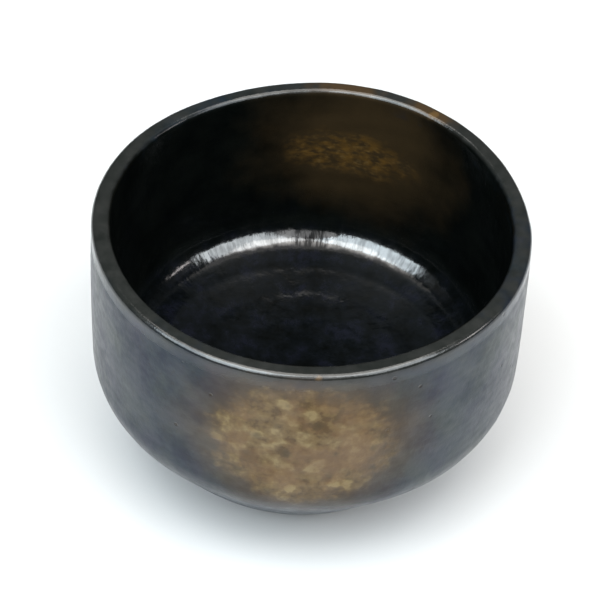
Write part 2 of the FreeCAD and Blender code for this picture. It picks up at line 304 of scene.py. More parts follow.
class Skin:
    """Closed shell between a fine face and a back that is coarser by COARSE each way.

    Rows follow the section and columns go round it. Where keep leaves coarse cells out, the shell
    is open through both sides, and walls close it there.
    """

    def __init__(self, face, back, wraps, keep=None, pole=False):
        self.face = face
        self.back = back
        self.wraps = wraps
        self.pole = pole
        cells = back.shape[0] - 1, back.shape[1] - (0 if wraps else 1)
        self.keep = np.ones(cells, bool) if keep is None else keep

    def numbers(self, grid, first):
        """Vertex numbers of a grid, with the pole's row sharing one vertex."""
        rows, columns = grid.shape[:2]
        number = first + np.arange(rows * columns).reshape(rows, columns)
        if self.pole:
            number[-1, :] = number[-1, 0]
        if self.wraps:
            number = np.concatenate([number, number[:, :1]], 1)
        return number

    def quads(self, number, keep, flip):
        """One face for each kept cell."""
        chosen = cell_corners(number)[keep]
        return chosen[:, ::-1] if flip else chosen

    def strips(self, fine, coarse):
        """Walls between face and back, one for each open side of a kept coarse cell."""
        steps = np.arange(COARSE + 1)[:, None]
        walls = []
        for cell in np.argwhere(self.keep):
            for beside, start, end in SIDES:
                if self.kept(*(cell + beside)):
                    continue
                start, end = cell + start, cell + end
                places = start * COARSE + (end - start) * steps
                edge = list(fine[places[:, 0], places[:, 1]])
                walls.append(edge + [coarse[tuple(end)], coarse[tuple(start)]])
        return walls

    def kept(self, row, column):
        """Whether a coarse cell is kept; what lies beyond the pole counts as kept."""
        rows, columns = self.keep.shape
        if self.pole and row == rows:
            return True
        if self.wraps:
            column %= columns
        return 0 <= row < rows and 0 <= column < columns and self.keep[row, column]

    def build(self, name):
        """The shell as a mesh object."""
        fine = self.numbers(self.face, 0)
        coarse = self.numbers(self.back, self.face.shape[0] * self.face.shape[1])
        fine_keep = np.repeat(np.repeat(self.keep, COARSE, 0), COARSE, 1)
        front = self.quads(fine, fine_keep, False)
        rear = self.quads(coarse, self.keep, True)
        walls = self.strips(fine, coarse)
        points = np.concatenate([self.face.reshape(-1, 3), self.back.reshape(-1, 3)])
        return make_mesh(name, points, [front, rear], walls)


def make_mesh(name, points, smooth_sets, flat_faces=()):
    """Mesh object from quads that shade smooth and polygons that shade flat."""
    faces = []
    for quads in smooth_sets:
        faces.extend(without_repeats(quads))
    smooth_count = len(faces)
    faces.extend(flat_faces)
    corners = np.concatenate([np.asarray(face) for face in faces])
    used = np.unique(corners)
    renumber = np.full(len(points), -1)
    renumber[used] = np.arange(len(used))
    sizes = np.array([len(face) for face in faces])
    mesh = bpy.data.meshes.new(name)
    mesh.vertices.add(len(used))
    mesh.vertices.foreach_set("co", points[used].astype(np.float32).ravel())
    mesh.loops.add(len(corners))
    mesh.loops.foreach_set("vertex_index", renumber[corners].astype(np.int32))
    mesh.polygons.add(len(faces))
    starts = np.concatenate([[0], np.cumsum(sizes)[:-1]])
    mesh.polygons.foreach_set("loop_start", starts.astype(np.int32))
    shading = np.arange(len(faces)) < smooth_count
    mesh.update(calc_edges=True)
    mesh.polygons.foreach_set("use_smooth", shading)
    sharpen(mesh, starts[smooth_count:], sizes[smooth_count:])
    return add_object(name, mesh)


def add_object(name, data):
    thing = bpy.data.objects.new(name, data)
    bpy.context.scene.collection.objects.link(thing)
    return thing


def sharpen(mesh, starts, sizes):
    """Keep the smooth faces' shading clear of the flat walls that they meet."""
    if len(starts) == 0:
        return
    loop_edges = np.empty(len(mesh.loops), np.int32)
    mesh.loops.foreach_get("edge_index", loop_edges)
    wall_loops = np.concatenate([np.arange(start, start + size) for start, size in zip(starts, sizes)])
    sharp = np.zeros(len(mesh.edges), bool)
    sharp[loop_edges[wall_loops]] = True
    mesh.attributes.new("sharp_edge", "BOOLEAN", "EDGE").data.foreach_set("value", sharp)


def without_repeats(quads):
    """Quads as lists, those that touch the pole as triangles."""
    plain = (quads[:, 2] != quads[:, 3]) & (quads[:, 0] != quads[:, 1])
    faces = list(quads[plain])
    for quad in quads[~plain]:
        faces.append(list(dict.fromkeys(quad.tolist())))
    return faces


class Patch:
    """An oval block of the glaze grid that becomes a piece of its own.

    Inside the block the grid's square turns into an oval with a slightly uneven outline. Outside
    it the grid closes up to its plain form again, and at the grid's own ends it stays as it is.
    """

    def __init__(self, columns, rows, true_rows, all_rows, seed, reach=2.2, uneven=0.07):
        self.columns, self.rows = columns, rows
        self.true_rows, self.all_rows = true_rows, all_rows
        self.reach = reach
        draw = np.random.default_rng(seed)
        self.lobes = [(count, uneven / math.sqrt(count), draw.uniform(0, TURN))
                      for count in (2, 3, 5, 8, 13)]

    def shape(self, column, row):
        """Where the grid's places go, as columns and rows in real numbers."""
        first_c, last_c = self.columns
        first_r, last_r = self.rows
        low, high = self.true_rows
        middle_c, half_c = (first_c + last_c) / 2, (last_c - first_c) / 2
        middle_r, half_r = (low + high) / 2, (high - low) / 2
        across = (column - middle_c) / half_c
        beside = (np.abs(across) - 1) / (self.reach - 1)
        beyond = np.maximum((row - last_r) / (self.all_rows - last_r), (first_r - row) / first_r)
        fade = 1 - smooth(np.maximum(np.maximum(beside, beyond), 0), 0, 1)
        moved = np.interp(row, [0, first_r, last_r, self.all_rows], [0, low, high, self.all_rows])
        row = row + (moved - row) * (1 - smooth(beside, 0, 1))
        up = (row - middle_r) / half_r
        square = np.maximum(np.maximum(np.abs(across), np.abs(up)), 1e-9)
        bearing = np.arctan2(up, across)
        uneven = sum(size * (1 + np.sin(count * bearing + phase)) / 2 for count, size, phase in self.lobes)
        target = square / np.maximum(np.hypot(across, up), 1e-9) * (1 - uneven)
        inside = (np.abs(across) <= 1) & (beyond <= 0)
        weight = np.where(inside, square ** 2, fade)
        factor = 1 + (target - 1) * weight
        return middle_c + across * factor * half_c, middle_r + up * factor * half_r


def grid(first_row, last_row, first_column, last_column, per_cell):
    """Grid places from one row and column to another, per_cell steps in each cell."""
    rows = np.linspace(first_row, last_row, int((last_row - first_row) * per_cell) + 1)
    columns = np.linspace(first_column, last_column, int((last_column - first_column) * per_cell) + 1)
    return np.meshgrid(rows, columns, indexing="ij")


MARGIN_ROWS = 3 * COARSE


def snap(place):
    """The nearest edge of a coarse cell."""
    return int(round(place / COARSE)) * COARSE


class Coat:
    """A turned stretch of the glaze face with one patch let into it.

    The patch fills its CAD box in height and width, and face_y is the box's outward side.
    """

    def __init__(self, start, end, columns, rows, box, face_y, radius, seed):
        self.start, self.end = start, end
        self.columns, self.rows = columns, rows
        low, high = box
        self.turn_start = math.atan2(face_y, ((low + high) / 2).x) - math.pi
        inside = start > 0
        ends = sorted(GLAZE_FACE.where(height, inside) for height in (low.z, high.z))
        true_rows = tuple((place - start) / (end - start) * rows for place in ends)
        wide = (high.x - low.x) / 2 / radius / TURN * columns
        columns_taken = [snap(columns / 2 - wide), snap(columns / 2 + wide)]
        rows_taken = [max(snap(true_rows[0]), MARGIN_ROWS), min(snap(true_rows[1]), rows - MARGIN_ROWS)]
        self.patch = Patch(columns_taken, rows_taken, true_rows, rows, seed)

    def surface(self, row, column, depth=0.0, relief=face_relief):
        column, row = self.patch.shape(column, row)
        angle = self.turn_start + column / self.columns * TURN
        along = self.start + row / self.rows * (self.end - self.start)
        return turned(GLAZE_FACE, angle, along, depth, relief)

    def coat_piece(self, name, pole):
        """The coat, open where its patch lies."""
        row, column = grid(0, self.rows, 0, self.columns, 1)
        face = self.surface(row[:, :-1], column[:, :-1])
        row, column = grid(0, self.rows, 0, self.columns, 1 / COARSE)
        back = self.surface(row[:, :-1], column[:, :-1], GLAZE, None)
        keep = np.ones((self.rows // COARSE, self.columns // COARSE), bool)
        patch = self.patch
        rows_taken = slice(*(row // COARSE for row in patch.rows))
        columns_taken = slice(*(column // COARSE for column in patch.columns))
        keep[rows_taken, columns_taken] = False
        return Skin(face, back, True, keep, pole).build(name)

    def patch_piece(self, name, finer):
        """The patch, with a face finer than the coat's."""
        patch = self.patch
        ends = (*patch.rows, *patch.columns)
        face = self.surface(*grid(*ends, finer))
        for side in (face[0], face[-1], face[:, 0], face[:, -1]):
            side[1::finer] = (side[:-1:finer] + side[finer::finer]) / 2
        back = self.surface(*grid(*ends, finer / COARSE), GLAZE, None)
        return Skin(face, back, False).build(name)


# Columns go round each piece, and rows along its section.
OUTER_COLUMNS = 608
OUTER_ROWS = 140
INNER_COLUMNS = 512
INNER_ROWS = 168
LIP_COLUMNS = 720
LIP_ROWS = 44
CLAY_COLUMNS = 320
BARE_ROWS = 88
HIDDEN_ROWS = 130
FOOT_COLUMNS = 448
FOOT_ROWS = 72
SLIP_COLUMNS = 384
SLIP_ROWS = 80


def outer_coat():
    box = PATCH_LOW, PATCH_HIGH
    return Coat(0, LIP_START, OUTER_COLUMNS, OUTER_ROWS, box, PATCH_LOW.y, BELLY_R, 5)


def inner_coat():
    box = GOLD_LOW, GOLD_HIGH
    return Coat(LIP_END, GLAZE_FACE.length, INNER_COLUMNS, INNER_ROWS, box, GOLD_HIGH.y, INNER_R, 9)


def lip_piece():
    """The glaze band over the lip."""
    row, column = grid(0, LIP_ROWS, 0, LIP_COLUMNS, 1)
    angle = column[:, :-1] / LIP_COLUMNS * TURN
    along = LIP_START + row[:, :-1] / LIP_ROWS * (LIP_END - LIP_START)
    face = turned(GLAZE_FACE, angle, along, 0.0, face_relief)
    back = turned(GLAZE_FACE, angle[::COARSE, ::COARSE], along[::COARSE, ::COARSE], GLAZE)
    return Skin(face, back, True).build("lip_glaze_handmade")


def closed_turning(name, section, columns, lengths, relief=None, poles=False):
    """Solid of a turned section, closed at the axis or joined end to end."""
    angle = np.arange(columns) / columns * TURN
    along, angle = np.meshgrid(lengths, angle, indexing="ij")
    points = turned(section, angle, along, 0.0, relief)
    rows = len(lengths)
    number = np.arange(rows * columns).reshape(rows, columns)
    if poles:
        number[0, :] = number[0, 0]
        number[-1, :] = number[-1, 0]
    else:
        number = np.concatenate([number, number[:1]], 0)
    number = np.concatenate([number, number[:, :1]], 1)
    return make_mesh(name, points.reshape(-1, 3), [cell_corners(number).reshape(-1, 4)])


def clay_section():
    """The clay's outline, from the axis under the foot, round the outside and in to the axis."""
    curve = (WELL_R ** 2 + WELL_RISE ** 2) / (2 * WELL_RISE)
    centre = (0, CLAY_UNDER_Z + WELL_RISE - curve)
    edge = math.atan2(CLAY_UNDER_Z - centre[1], WELL_R)
    well = arc(centre, curve, math.pi / 2, edge)
    radius, height, out_r, out_z = GLAZE_FACE.at(GLAZE_FACE.along)
    behind = np.stack([radius - out_r * GLAZE, height - out_z * GLAZE], 1)
    behind[-1, 0] = 0
    return Section(np.concatenate([well, line(well[-1], behind[0]), behind]))


def clay_relief(points, angle, along):
    """Trimming spiral and grit on the bare clay under the bowl."""
    radius = np.hypot(points[..., 0], points[..., 1])
    bare = (1 - smooth(radius, 31.5 * MM, 34 * MM)) * (points[..., 2] < 15 * MM)
    spiral = 0.07 * np.sin(TURN * radius / (2.3 * MM) + angle)
    nipple = 0.9 * np.exp(-(radius / (3.0 * MM)) ** 2)
    grit = 0.035 * ripple(points, 1.6 * MM, 41) + 0.06 * ripple(points, 7 * MM, 42)
    away = smooth(radius, 1.0 * MM, 4.0 * MM)
    return bare * (spiral * away + nipple + grit) * MM


def clay_piece():
    section = clay_section()
    bare_end = section.where(CLAY_UNDER_Z + 0.01 * MM) + (GLAZE_EDGE_R + 2 * MM - WELL_R)
    bare = np.linspace(0, bare_end, BARE_ROWS)
    hidden = np.linspace(bare_end, section.length, HIDDEN_ROWS)[1:]
    return closed_turning("clay_body_handmade", section, CLAY_COLUMNS,
                          np.concatenate([bare, hidden]), clay_relief, True)


def foot_section():
    """The foot ring's closed outline, with its lower edges rounded."""
    edge = 0.9 * MM
    taper = (FOOT_TOP_R - FOOT_BASE_R) / FOOT_TOP_Z
    outer = (FOOT_BASE_R + taper * edge - edge, edge)
    inner = (FOOT_INNER_R + edge, edge)
    lean = -math.atan(taper)
    outer_round = arc(outer, edge, -math.pi / 2, lean)
    inner_round = arc(inner, edge, -math.pi, -math.pi / 2)
    parts = [
        inner_round, line(inner_round[-1], outer_round[0]), outer_round,
        line(outer_round[-1], (FOOT_TOP_R, FOOT_TOP_Z)),
        line((FOOT_TOP_R, FOOT_TOP_Z), (FOOT_INNER_R, FOOT_TOP_Z)),
        line((FOOT_INNER_R, FOOT_TOP_Z), inner_round[0])[:-1],
    ]
    return Section(np.concatenate(parts))


def foot_relief(points, angle, along):
    """Trimming lines and small nicks; the contact face stays flat on the table."""
    lines = 0.05 * np.sin(TURN * points[..., 2] / (1.5 * MM) + angle + ripple(points, 20 * MM, 51))
    wear = 0.09 * ripple(points, 4 * MM, 52)
    grit = 0.03 * ripple(points, 1.3 * MM, 53)
    above = smooth(points[..., 2], 0.1 * MM, 0.8 * MM) * (1 - smooth(points[..., 2], 5.1 * MM, 5.5 * MM))
    chips = -0.5 * smooth(ripple(points, 5 * MM, 54), 1.3, 2.2) * (points[..., 2] < 1.2 * MM)
    return above * (lines + wear + grit + chips) * MM


def foot_piece():
    section = foot_section()
    lengths = np.linspace(0, section.length, FOOT_ROWS)
    return closed_turning("foot_ring_handmade", section, FOOT_COLUMNS, lengths, foot_relief)


def slip_section():
    """The slip layer's closed outline, with a bead in each corner beside the foot."""
    low = SLIP_LOW_Z
    bead = SLIP_R - FOOT_TOP_R
    top = CLAY_UNDER_Z
    taper = (FOOT_TOP_R - FOOT_BASE_R) / FOOT_TOP_Z
    low_r = FOOT_BASE_R + taper * low
    inner_top = (FOOT_INNER_R - bead / 2, top)
    outer_top = (SLIP_R, top)
    sag = 0.35
    steps = np.linspace(0, 1, 24)[:, None]

    def hollow(start, end, corner):
        start, end, corner = map(np.asarray, (start, end, corner))
        middle = (start + end) / 2 * (1 - sag) + corner * sag
        return start * (1 - steps) ** 2 + 2 * middle * steps * (1 - steps) + end * steps ** 2

    parts = [
        hollow(inner_top, (FOOT_INNER_R, low), (FOOT_INNER_R, top)),
        line((FOOT_INNER_R, low), (FOOT_INNER_R, FOOT_TOP_Z)),
        line((FOOT_INNER_R, FOOT_TOP_Z), (FOOT_TOP_R, FOOT_TOP_Z)),
        line((FOOT_TOP_R, FOOT_TOP_Z), (low_r, low)),
        hollow((low_r, low), outer_top, (low_r, top)),
        line(outer_top, inner_top)[:-1],
    ]
    return Section(np.concatenate(parts))


def slip_relief(points, angle, along):
    """Uneven bead, where the slip was smoothed with a tool."""
    bead = smooth(CLAY_UNDER_Z - points[..., 2], 0.0, 0.3 * MM)
    side = points[..., 2] < FOOT_TOP_Z + 0.02 * MM
    return 0.08 * bead * side * ripple(points, 6 * MM, 61) * MM


def slip_piece():
    section = slip_section()
    lengths = np.linspace(0, section.length, SLIP_ROWS)
    return closed_turning("joining_slip_handmade", section, SLIP_COLUMNS, lengths, slip_relief)


# Materials.
MAP_RANGE_INPUTS = "Value", "From Min", "From Max", "To Min", "To Max"


class Nodes:
    """A material's node tree, with short ways to add and join nodes."""

    def __init__(self, name):
        self.material = bpy.data.materials.new(name)
        self.material.use_nodes = True
        self.tree = self.material.node_tree
        self.shader = self.tree.nodes["Principled BSDF"]
        self.place = self.add("ShaderNodeTexCoord").outputs["Object"]

    def add(self, kind, **settings):
        node = self.tree.nodes.new(kind)
        for key, setting in settings.items():
            setattr(node, key, setting)
        return node

    def join(self, source, target):
        self.tree.links.new(source, target)

    def feed(self, target, source):
        """Set an input from a number, a colour or another node's output."""
        if isinstance(source, bpy.types.NodeSocket):
            self.join(source, target)
        else:
            target.default_value = source

    def math(self, operation, first, second=0.0):
        node = self.add("ShaderNodeMath", operation=operation)
        self.feed(node.inputs[0], first)
        self.feed(node.inputs[1], second)
        return node.outputs[0]

    def plus(self, first, second):
        return self.math("ADD", first, second)

    def less(self, first, second):
        return self.math("SUBTRACT", first, second)

    def times(self, first, second):
        return self.math("MULTIPLY", first, second)

    def vector(self, operation, first, second=(0, 0, 0), scale=1.0):
        node = self.add("ShaderNodeVectorMath", operation=operation)
        self.feed(node.inputs[0], first)
        self.feed(node.inputs[1], second)
        node.inputs[3].default_value = scale
        return node.outputs["Value" if operation in ("LENGTH", "DOT_PRODUCT") else "Vector"]

    def toward(self, direction):
        """How far the place lies in a direction."""
        return self.vector("DOT_PRODUCT", self.place, direction)

    def level(self):
        """The place's offset from the bowl's axis."""
        return self.vector("MULTIPLY", self.place, (1, 1, 0))

    def radius(self):
        return self.vector("LENGTH", self.level())

    def noise(self, size, detail=3.0, roughness=0.55, place=None, distortion=0.0):
        """Noise, 0 to 1, with features of a size in metres."""
        node = self.add("ShaderNodeTexNoise")
        self.join(self.place if place is None else place, node.inputs["Vector"])
        node.inputs["Scale"].default_value = 1 / size
        node.inputs["Detail"].default_value = detail
        node.inputs["Roughness"].default_value = roughness
        node.inputs["Distortion"].default_value = distortion
        return node.outputs["Fac"]

    def strayed(self, size, amount):
        """The place on the object, moved about by up to half an amount in metres."""
        node = self.add("ShaderNodeTexNoise")
        self.join(self.place, node.inputs["Vector"])
        node.inputs["Scale"].default_value = 1 / size
        stray = self.vector("SUBTRACT", node.outputs["Color"], (0.5, 0.5, 0.5))
        return self.vector("ADD", self.place, self.vector("SCALE", stray, scale=amount))

    def cells(self, size, feature="F1", place=None, output="Distance", smoothness=None):
        """Voronoi cells of a size in metres."""
        node = self.add("ShaderNodeTexVoronoi", feature=feature)
        self.join(self.place if place is None else place, node.inputs["Vector"])
        node.inputs["Scale"].default_value = 1 / size
        if smoothness is not None:
            node.inputs["Smoothness"].default_value = smoothness
        return node.outputs[output]

    def between(self, value, low, high, start=0.0, end=1.0):
        """start below low, end above high, smooth between."""
        node = self.add("ShaderNodeMapRange", interpolation_type="SMOOTHSTEP")
        for socket, source in zip(MAP_RANGE_INPUTS, (value, low, high, start, end)):
            self.feed(node.inputs[socket], source)
        return node.outputs["Result"]

    def mix(self, factor, first, second, blend="MIX"):
        node = self.add("ShaderNodeMix", data_type="RGBA", blend_type=blend)
        self.feed(node.inputs["Factor"], factor)
        self.feed(node.inputs[6], colour(first))
        self.feed(node.inputs[7], colour(second))
        return node.outputs[2]

    def ramp(self, value, stops):
        """Colour ramp through (position, colour) stops."""
        node = self.add("ShaderNodeValToRGB")
        self.feed(node.inputs["Fac"], value)
        ends = node.color_ramp.elements
        ends[0].position, ends[0].color = stops[0][0], colour(stops[0][1])
        ends[1].position, ends[1].color = stops[-1][0], colour(stops[-1][1])
        for position, tone in stops[1:-1]:
            ends.new(position).color = colour(tone)
        return node.outputs["Color"]

    def bump(self, height, distance, normal=None):
        node = self.add("ShaderNodeBump")
        node.inputs["Distance"].default_value = distance
        self.join(height, node.inputs["Height"])
        if normal is not None:
            self.join(normal, node.inputs["Normal"])
        return node.outputs["Normal"]

    def finish(self, base, roughness, normal, sheen=0.5, ior=1.5):
        """Feed the shader, with sheen as its Specular IOR Level."""
        shader = self.shader.inputs
        self.feed(shader["Base Color"], base)
        self.feed(shader["Roughness"], roughness)
        self.join(normal, shader["Normal"])
        self.feed(shader["Specular IOR Level"], sheen)
        shader["IOR"].default_value = ior
        return self.material


def colour(value):
    """A colour with its alpha, or a socket as it is."""
    if isinstance(value, bpy.types.NodeSocket) or len(value) == 4:
        return value
    return (*value, 1.0)


def tinted(level, tint):
    return tuple(level * part for part in tint)


# Glaze colours in linear light, and how the tones of a cloudy glaze follow a noise.
SATIN_TONES = ((0.33, (0.0010, 0.0045, 0.0180)), (0.50, (0.0030, 0.0100, 0.0185)),
               (0.68, (0.0080, 0.0155, 0.0165)))
SPECK_BLACK = (0.003, 0.004, 0.006)
PIT_BLACK = (0.001, 0.001, 0.002)
HALO_BROWN = (0.046, 0.030, 0.015)
OCHRE_TONES = ((0.35, (0.068, 0.043, 0.020)), (0.45, (0.100, 0.066, 0.030)),
               (0.55, (0.124, 0.085, 0.039)), (0.65, (0.168, 0.124, 0.060)))
ROSY_OCHRE = (0.122, 0.070, 0.034)
HOLE_BROWN = (0.040, 0.030, 0.016)
WALL_TONES = ((0.30, (0.0007, 0.0011, 0.0010)), (0.70, (0.0022, 0.0028, 0.0024)))
FLOOR_TONES = ((0.34, (0.0006, 0.0009, 0.0008)), (0.52, (0.0018, 0.0024, 0.0030)),
               (0.68, (0.0036, 0.0042, 0.0072)))
# Near black of the painted dark reflection at the inner floor's centre.
PAINTED_REFLECTION_BLACK = (0.0008, 0.0010, 0.0009)
GLOW_BROWN = (0.0210, 0.0140, 0.0066)
VEIN_GOLD = (0.066, 0.035, 0.008)
FLECK_GOLD = (0.075, 0.050, 0.020)
LIP_TONES = ((0.30, (0.0060, 0.0070, 0.0062)), (0.70, (0.0135, 0.0140, 0.0130)))
LIP_BROWN = (0.030, 0.018, 0.008)
LIP_ORANGE = (0.085, 0.048, 0.016)

SATIN_IOR = 1.55
GLOSS_IOR = 1.6
OCHRE_OVAL = (23 * MM, 20 * MM)
GLOW_OVAL = (31 * MM, 27 * MM)
GOLD_OVAL = (18 * MM, 8 * MM)
COVE_LOW = (28.7 * MM, 29.5 * MM)
COVE_HIGH = (39 * MM, 50 * MM)


def oval_distance(nodes, centre, half_sizes, azimuth):
    """Distance from a patch's centre over the wall, 1 at its outline."""
    across = (-math.sin(azimuth), math.cos(azimuth), 0)
    offset = nodes.vector("SUBTRACT", nodes.place, tuple(centre))
    side = nodes.math("DIVIDE", nodes.vector("DOT_PRODUCT", offset, across), half_sizes[0])
    rise = nodes.math("DIVIDE", nodes.vector("DOT_PRODUCT", offset, (0, 0, 1)), half_sizes[1])
    square = nodes.plus(nodes.times(side, side), nodes.times(rise, rise))
    facing = nodes.toward((math.cos(azimuth), math.sin(azimuth), 0))
    behind = nodes.between(facing, 0.0, 20 * MM, 9.0, 0.0)
    return nodes.plus(nodes.math("SQRT", square), behind)


def wobble(nodes, value, size, amount, detail=2.0):
    """A value made uneven by noise of a size."""
    return nodes.plus(value, nodes.times(nodes.less(nodes.noise(size, detail), 0.5), amount))


def spot(nodes, centre, radius, size):
    """1 at a place, 0 beyond a radius, with a ragged edge of a grain size."""
    offset = nodes.vector("SUBTRACT", nodes.place, centre)
    reach = nodes.math("DIVIDE", nodes.vector("LENGTH", offset), radius)
    return nodes.between(wobble(nodes, reach, size, 1.0), 0.5, 1.0, 1.0, 0.0)


def satin_black(nodes, pit):
    """Cloudy bluish and greenish black with dark specks and pits."""
    base = nodes.ramp(nodes.noise(13 * MM, 4, 0.6), SATIN_TONES)
    speck = nodes.between(nodes.noise(1.3 * MM, 2, 0.6), 0.58, 0.70)
    base = nodes.mix(nodes.times(speck, 0.6), base, SPECK_BLACK)
    return nodes.mix(pit, base, PIT_BLACK)


def ochre_mottle(nodes, strayed):
    """Soft blobs and flakes, about 0 to 1."""
    blotch = nodes.cells(3.5 * MM, "SMOOTH_F1", strayed, "Color", 0.8)
    flake = nodes.noise(1.8 * MM, 2, 0.5)
    return nodes.plus(nodes.times(blotch, 0.5), nodes.times(flake, 0.5))


def ochre_colour(nodes, mottle, strayed, height):
    """Mottled ochre with rosy stretches and small dark holes, with painted light: brighter towards the
    foot and darker towards the top, to even out the lower patch's shade.
    """
    ochre = nodes.ramp(mottle, OCHRE_TONES)
    rosy = nodes.between(nodes.noise(8 * MM, 2), 0.38, 0.56)
    ochre = nodes.mix(nodes.times(rosy, 0.5), ochre, ROSY_OCHRE)
    # Painted light: the ochre is lightened low down, where the wall turns down into shade, and darkened a
    # little at the top.
    painted_light_by_height = nodes.between(height, 18 * MM, 52 * MM, 1.35, 0.92)
    ochre = nodes.mix(1.0, ochre, painted_light_by_height, "MULTIPLY")
    hole = nodes.between(nodes.cells(6.5 * MM, "F1", strayed), 0.08, 0.32, 0.6, 0.0)
    return nodes.mix(hole, ochre, HOLE_BROWN)


def outer_bumps(nodes, pit, mottle, solid):
    """Fine grain, small swells, the pits and the raised mottles of the patch."""
    normal = nodes.bump(nodes.noise(0.6 * MM, 3, 0.6), 0.022 * MM)
    normal = nodes.bump(nodes.noise(2.4 * MM, 3, 0.5), 0.05 * MM, normal)
    normal = nodes.bump(nodes.less(1.0, pit), 0.18 * MM, normal)
    return nodes.bump(nodes.times(mottle, solid), 0.16 * MM, normal)


def outer_colours(nodes):
    """Satin black with the ochre patch and its brown halo: colour, roughness, normal and sheen."""
    centre = (PATCH_LOW + PATCH_HIGH) / 2
    far = oval_distance(nodes, Vector((centre.x, 0, centre.z)), OCHRE_OVAL, -math.pi / 2)
    far = wobble(nodes, far, 8 * MM, 0.40)
    pit = nodes.between(nodes.cells(9 * MM), 0.045, 0.085, 1.0, 0.0)
    base = satin_black(nodes, pit)
    halo = nodes.between(wobble(nodes, far, 14 * MM, 0.5), 0.75, 1.80, 1.0, 0.0)
    base = nodes.mix(halo, base, HALO_BROWN)
    strayed = nodes.strayed(2.2 * MM, 1.8 * MM)
    mottle = ochre_mottle(nodes, strayed)
    ragged = nodes.plus(far, nodes.times(nodes.less(mottle, 0.5), -0.45))
    solid = nodes.between(ragged, 0.74, 1.20, 1.0, 0.0)
    height = nodes.toward((0, 0, 1))
    base = nodes.mix(solid, base, ochre_colour(nodes, mottle, strayed, height))
    rough = nodes.between(nodes.noise(3 * MM, 3), 0.3, 0.7, 0.28, 0.37)
    rough = nodes.plus(rough, nodes.times(solid, 0.12))
    sheen = nodes.between(nodes.noise(17 * MM, 4, 0.65), 0.32, 0.66, 0.17, 0.36)
    sheen = nodes.less(sheen, nodes.times(solid, 0.10))
    sheen = nodes.times(sheen, nodes.between(height, 4 * MM, 20 * MM, 0.15, 1.0))
    return base, rough, outer_bumps(nodes, pit, mottle, solid), sheen


def gloss_black(nodes, height):
    """Black wall above a cloudy bluish floor, with a painted dark reflection at the floor's centre."""
    wall = nodes.ramp(nodes.noise(11 * MM, 4, 0.6), WALL_TONES)
    floor = nodes.ramp(nodes.noise(7 * MM, 5, 0.7), FLOOR_TONES)
    out = wobble(nodes, nodes.radius(), 6 * MM, 4 * MM)
    # Painted reflection: the floor darkens to near black within about a centimetre of the axis.
    floor = nodes.mix(nodes.between(out, 4 * MM, 10 * MM, 0.8, 0.0), floor, PAINTED_REFLECTION_BLACK)
    return nodes.mix(nodes.between(height, 29 * MM, 36 * MM), floor, wall)


def golden(nodes, base):
    """The base with the far wall's brown glow, and golden veins and flecks in its middle."""
    centre = (GOLD_LOW + GOLD_HIGH) / 2
    azimuth = math.atan2(GOLD_HIGH.y, centre.x)
    far = oval_distance(nodes, Vector((centre.x - 1 * MM, 0, centre.z + 5 * MM)), GLOW_OVAL, azimuth)
    glow = nodes.between(wobble(nodes, far, 14 * MM, 0.8, 3), 0.25, 1.25, 1.0, 0.0)
    base = nodes.mix(glow, base, GLOW_BROWN)
    far = oval_distance(nodes, Vector((centre.x - 3 * MM, 0, centre.z + 1 * MM)), GOLD_OVAL, azimuth)
    band = nodes.between(wobble(nodes, far, 7 * MM, 1.1, 3), 0.35, 1.25, 1.0, 0.0)
    brushed = nodes.vector("MULTIPLY", nodes.place, (1, 1, 1.9))
    vein = nodes.between(nodes.noise(3.6 * MM, 2, 0.5, brushed, 0.2), 0.30, 0.72)
    base = nodes.mix(nodes.times(band, vein), base, VEIN_GOLD)
    fleck = nodes.between(nodes.noise(1.8 * MM, 3, 0.6, brushed), 0.52, 0.72)
    return nodes.mix(nodes.times(nodes.times(fleck, band), 0.5), base, FLECK_GOLD)


def cove_strands(nodes, outward):
    """Noise drawn out down the wall and across the cove."""
    around = nodes.vector("SCALE", outward, scale=50 * MM)
    raised = nodes.vector("MULTIPLY", nodes.place, (0.12, 0.12, 0.30))
    return nodes.noise(1.1 * MM, 3, 0.6, nodes.vector("ADD", around, raised))


def inner_bumps(nodes, strand):
    """Strands outside the floor, stronger here and there, over fine grain and small swells."""
    lifted = nodes.times(strand, nodes.between(nodes.radius(), 38 * MM, 45 * MM))
    lifted = nodes.times(lifted, nodes.between(nodes.noise(7 * MM, 2), 0.35, 0.65, 0.4, 1.0))
    normal = nodes.bump(lifted, 0.055 * MM)
    normal = nodes.bump(nodes.noise(0.5 * MM, 2, 0.5), 0.008 * MM, normal)
    return nodes.bump(nodes.noise(3.4 * MM, 2, 0.5), 0.09 * MM, normal)


def inner_sheen(nodes, height, strand, outward):
    """Sheen of the far side's cove, broken by dull strands in its middle, and little elsewhere."""
    low_edge = nodes.between(wobble(nodes, height, 2.5 * MM, 0.8 * MM), *COVE_LOW)
    cove = nodes.less(low_edge, nodes.times(nodes.between(height, *COVE_HIGH), 0.92))
    patchy = nodes.between(nodes.plus(strand, nodes.noise(5 * MM, 2)), 0.72, 1.15, 0.38, 0.72)
    aside = wobble(nodes, nodes.math("ABSOLUTE", nodes.toward((1, 0, 0))), 2 * MM, 4 * MM)
    gap = nodes.between(aside, 3.5 * MM, 6 * MM, 1.0, 0.0)
    gap = nodes.times(gap, nodes.between(strand, 0.42, 0.58, 0.97, 0.35))
    patchy = nodes.times(patchy, nodes.less(1.0, gap))
    back = nodes.between(nodes.vector("DOT_PRODUCT", outward, (0, 1, 0)), 0.50, 0.68)
    return nodes.plus(nodes.times(nodes.times(cove, patchy), back), 0.08)


